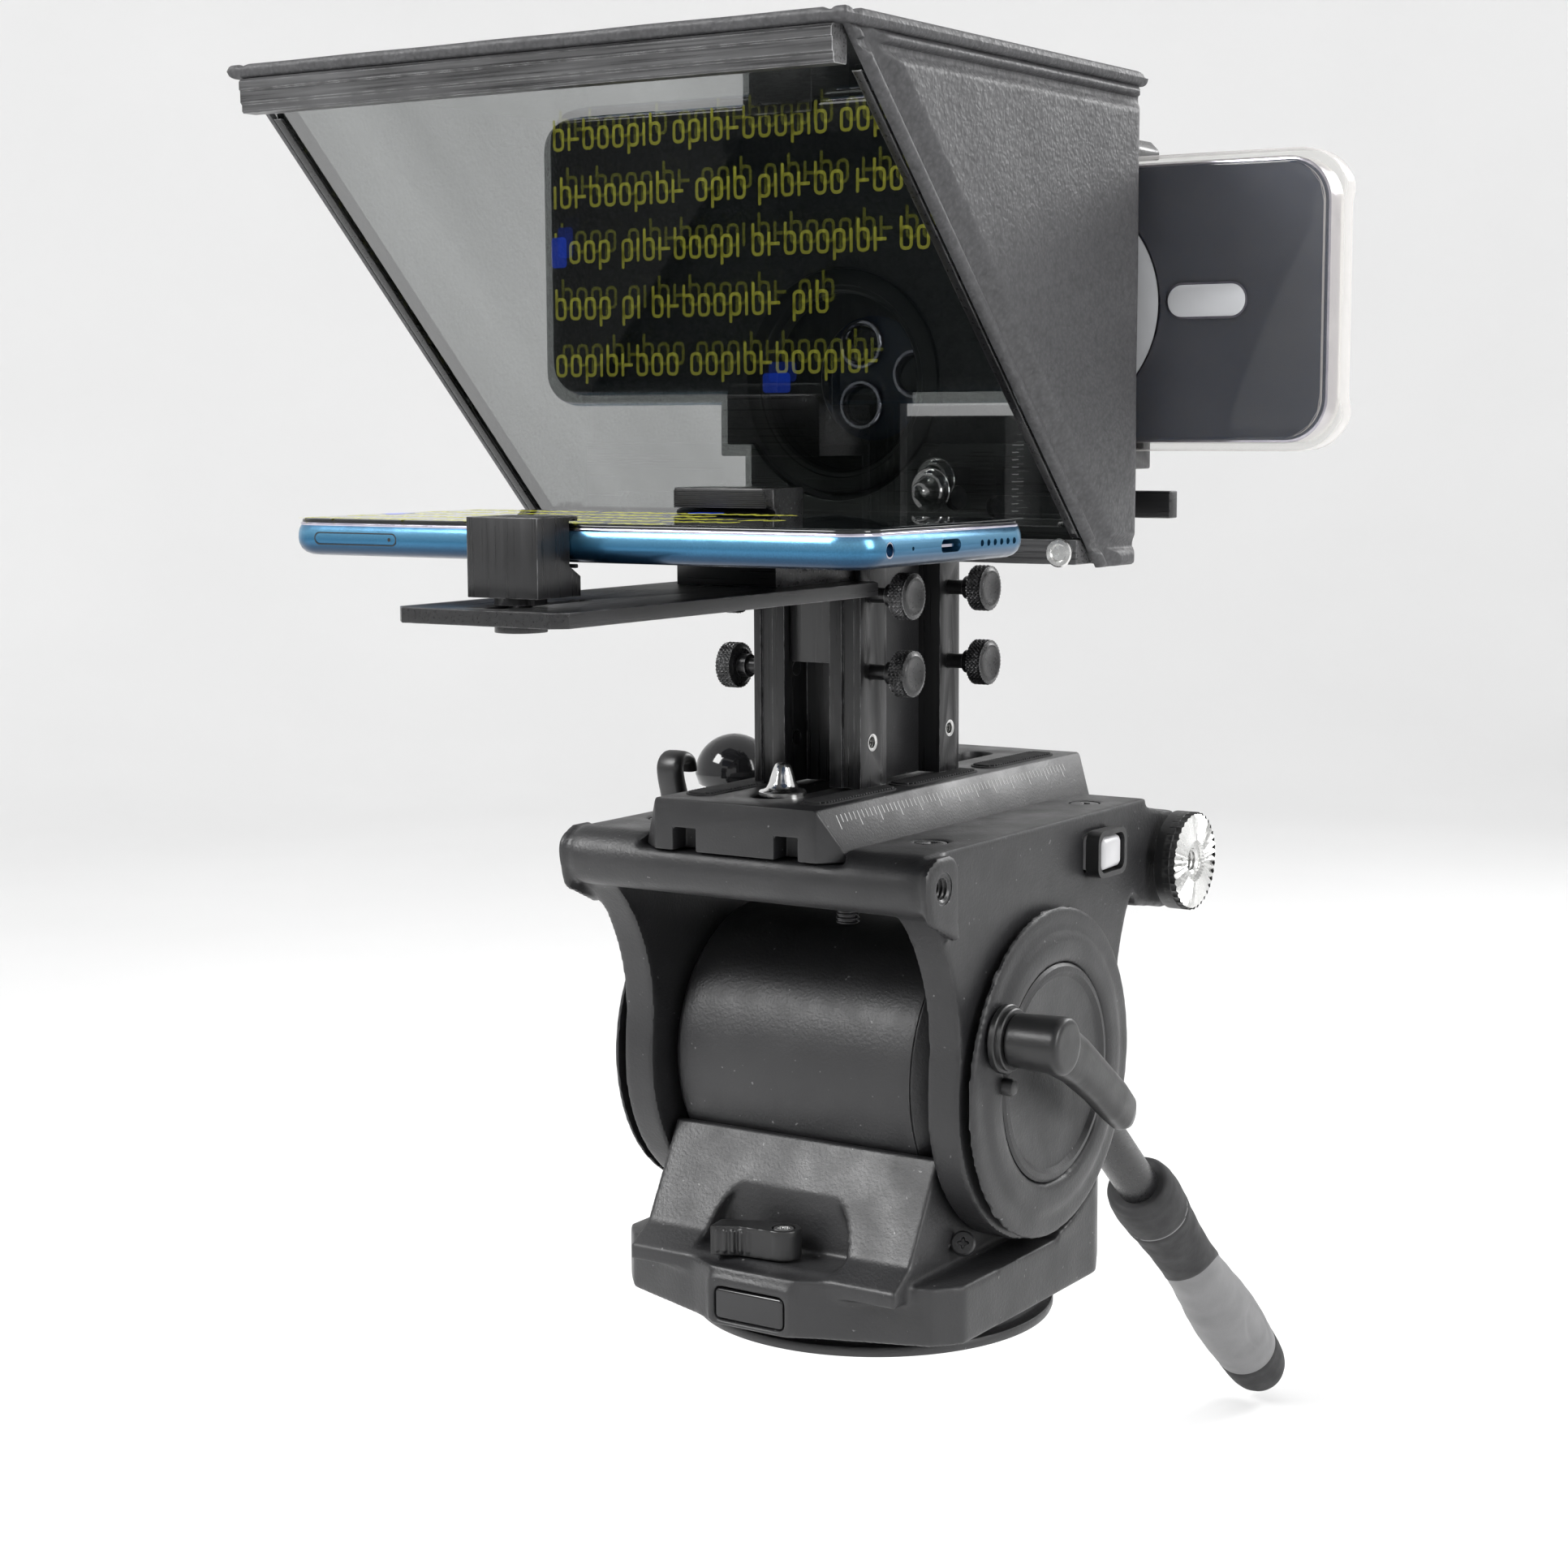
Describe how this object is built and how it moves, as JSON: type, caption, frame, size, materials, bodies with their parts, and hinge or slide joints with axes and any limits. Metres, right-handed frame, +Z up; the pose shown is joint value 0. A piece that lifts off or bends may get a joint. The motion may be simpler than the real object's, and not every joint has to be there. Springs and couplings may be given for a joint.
{
  "type": "teleprompter",
  "caption": "Phone teleprompter: padded hood with an angled half-mirror over a display phone, a clamp for a camera phone, on a pan and tilt fluid head.",
  "frame": {"origin": "on the pan axis at the bottom face of the head, at the mouth of its threaded hole", "axes": "+Z up; -Y towards the reader, who faces the glass; +X to the right as seen from the reader's side"},
  "size_m": [0.2199, 0.5994, 0.4944],
  "materials": {
    "powder_coat": "fine textured satin",
    "black_anodised": "black anodised, brushed",
    "black_plastic": "satin moulded",
    "gloss_black": "gloss",
    "button_grey": "satin",
    "steel": "turned",
    "rubber_black": "matte",
    "grip_grey": "soft matte",
    "phone_blue": "metallic gloss",
    "screen_glass": "gloss",
    "hood_leather": "pebbled matt",
    "splitter_glass": "half mirror",
    "camera_blue": "gloss",
    "clear_plastic": "clear soft plastic"
  },
  "bodies": {
    "base": {"base_ring": "powder_coat"},
    "pan": {"pan_bearing": "steel", "pan_housing": "powder_coat", "level_window": "gloss_black", "pan_lock_screw": "steel", "drag_drum": "powder_coat"},
    "pan_lock": {"pan_lock_lever": "black_plastic"},
    "tilt": {"tilt_axle": "steel", "cradle_arms": "powder_coat", "cradle_saddle": "powder_coat", "arm_caps": "powder_coat", "saddle_screws": "black_anodised", "rosette_bosses": "black_anodised", "rosettes": "steel"},
    "tilt_lock": {"tilt_lock_collar": "black_plastic", "tilt_lock_lever": "black_plastic", "tilt_lock_screw": "steel"},
    "safety_button": {"safety_button": "button_grey"},
    "plate_clamp": {"plate_clamp_lever": "black_plastic"},
    "clamp_knob": {"clamp_knob": "gloss_black"},
    "handle": {"handle_clamp": "black_plastic", "handle_tube": "black_anodised", "handle_sleeve": "rubber_black", "handle_grip": "grip_grey", "handle_cap": "rubber_black"},
    "handle_knob": {"handle_knob": "black_plastic"},
    "plate": {"slide_plate": "powder_coat", "plate_pads": "rubber_black", "locating_pin": "steel", "camera_screw": "steel", "front_column": "black_anodised", "rear_column": "black_anodised", "column_web": "powder_coat"},
    "prompter": {"front_post": "black_anodised", "tray_plate": "black_anodised", "rear_jaw": "black_anodised", "display_phone": "phone_blue", "display_screen": "screen_glass", "hood_sides": "hood_leather", "hood_top": "hood_leather", "hood_rear_panel": "hood_leather", "lens_ring": "black_plastic", "hood_bracket": "black_anodised", "glass_frame": "black_anodised", "beam_splitter": "splitter_glass"},
    "front_jaw": {"front_jaw": "black_anodised"},
    "camera_arm": {"rear_post": "black_anodised"},
    "camera_clamp": {"clamp_slider": "black_anodised", "camera_phone": "camera_blue", "camera_lenses": "gloss_black", "clear_case": "clear_plastic"},
    "upper_jaw": {"upper_jaw": "black_anodised"},
    "thumb_screw_front_low_left": {"thumb_screw_front_low_left": "black_anodised"},
    "thumb_screw_front_low_right": {"thumb_screw_front_low_right": "black_anodised"},
    "thumb_screw_front_high_left": {"thumb_screw_front_high_left": "black_anodised"},
    "thumb_screw_front_high_right": {"thumb_screw_front_high_right": "black_anodised"},
    "thumb_screw_rear_low_left": {"thumb_screw_rear_low_left": "black_anodised"},
    "thumb_screw_rear_low_right": {"thumb_screw_rear_low_right": "black_anodised"},
    "thumb_screw_rear_high_left": {"thumb_screw_rear_high_left": "black_anodised"},
    "thumb_screw_rear_high_right": {"thumb_screw_rear_high_right": "black_anodised"}
  },
  "joints": [
    {"name": "pan_turn", "type": "hinge", "parent": "base", "child": "pan", "pos_m": [0, 0, 0], "axis": [0, 0, 1], "continuous": true},
    {"name": "pan_lock_turn", "type": "hinge", "parent": "pan", "child": "pan_lock", "pos_m": [0.0034, -0.051, 0.03], "axis": [0, 0, 1], "range_deg": [-15, 25]},
    {"name": "tilt_turn", "type": "hinge", "parent": "pan", "child": "tilt", "pos_m": [0, 0, 0.072], "axis": [1, 0, 0], "range_deg": [-45, 60]},
    {"name": "tilt_lock_turn", "type": "hinge", "parent": "tilt", "child": "tilt_lock", "pos_m": [0.06, -0.03, 0.087], "axis": [1, 0, 0], "range_deg": [-40, 60]},
    {"name": "safety_button_press", "type": "slide", "parent": "tilt", "child": "safety_button", "axis": [-1, 0, 0], "range_m": [0, 0.002], "stiffness_N_per_m": 400},
    {"name": "plate_clamp_turn", "type": "hinge", "parent": "tilt", "child": "plate_clamp", "pos_m": [-0.057, -0.012, 0.131], "axis": [1, 0, 0], "range_deg": [0, 80]},
    {"name": "clamp_knob_turn", "type": "hinge", "parent": "tilt", "child": "clamp_knob", "pos_m": [-0.062, 0.024, 0.14], "axis": [0, 0, 1], "continuous": true},
    {"name": "handle_turn", "type": "hinge", "parent": "tilt", "child": "handle", "pos_m": [-0.064, 0.075, 0.119], "axis": [1, 0, 0], "range_deg": [-20, 60]},
    {"name": "handle_knob_turn", "type": "hinge", "parent": "handle", "child": "handle_knob", "pos_m": [-0.075, 0.075, 0.119], "axis": [1, 0, 0], "continuous": true},
    {"name": "plate_slide", "type": "slide", "parent": "tilt", "child": "plate", "axis": [0, 1, 0], "range_m": [-0.015, 0.015]},
    {"name": "prompter_lift", "type": "slide", "parent": "plate", "child": "prompter", "axis": [0, 0, 1], "range_m": [0, 0.015]},
    {"name": "front_jaw_slide", "type": "slide", "parent": "prompter", "child": "front_jaw", "axis": [0, -1, 0], "range_m": [0, 0.008]},
    {"name": "camera_lift", "type": "slide", "parent": "plate", "child": "camera_arm", "axis": [0, 0, 1], "range_m": [0, 0.015]},
    {"name": "camera_clamp_slide", "type": "slide", "parent": "camera_arm", "child": "camera_clamp", "axis": [1, 0, 0], "range_m": [-0.008, 0.006]},
    {"name": "upper_jaw_slide", "type": "slide", "parent": "camera_clamp", "child": "upper_jaw", "axis": [0, 0, 1], "range_m": [0, 0.012]},
    {"name": "thumb_screw_front_low_left_turn", "type": "hinge", "parent": "plate", "child": "thumb_screw_front_low_left", "pos_m": [-0.026, -0.0275, 0.179], "axis": [1, 0, 0], "range_deg": [0, 360]},
    {"name": "thumb_screw_front_low_right_turn", "type": "hinge", "parent": "plate", "child": "thumb_screw_front_low_right", "pos_m": [0.026, -0.0275, 0.179], "axis": [1, 0, 0], "range_deg": [0, 360]},
    {"name": "thumb_screw_front_high_left_turn", "type": "hinge", "parent": "plate", "child": "thumb_screw_front_high_left", "pos_m": [-0.026, -0.0275, 0.199], "axis": [1, 0, 0], "range_deg": [0, 360]},
    {"name": "thumb_screw_front_high_right_turn", "type": "hinge", "parent": "plate", "child": "thumb_screw_front_high_right", "pos_m": [0.026, -0.0275, 0.199], "axis": [1, 0, 0], "range_deg": [0, 360]},
    {"name": "thumb_screw_rear_low_left_turn", "type": "hinge", "parent": "plate", "child": "thumb_screw_rear_low_left", "pos_m": [-0.026, 0.013, 0.179], "axis": [1, 0, 0], "range_deg": [0, 360]},
    {"name": "thumb_screw_rear_low_right_turn", "type": "hinge", "parent": "plate", "child": "thumb_screw_rear_low_right", "pos_m": [0.026, 0.013, 0.179], "axis": [1, 0, 0], "range_deg": [0, 360]},
    {"name": "thumb_screw_rear_high_left_turn", "type": "hinge", "parent": "plate", "child": "thumb_screw_rear_high_left", "pos_m": [-0.026, 0.013, 0.199], "axis": [1, 0, 0], "range_deg": [0, 360]},
    {"name": "thumb_screw_rear_high_right_turn", "type": "hinge", "parent": "plate", "child": "thumb_screw_rear_high_right", "pos_m": [0.026, 0.013, 0.199], "axis": [1, 0, 0], "range_deg": [0, 360]}
  ]
}
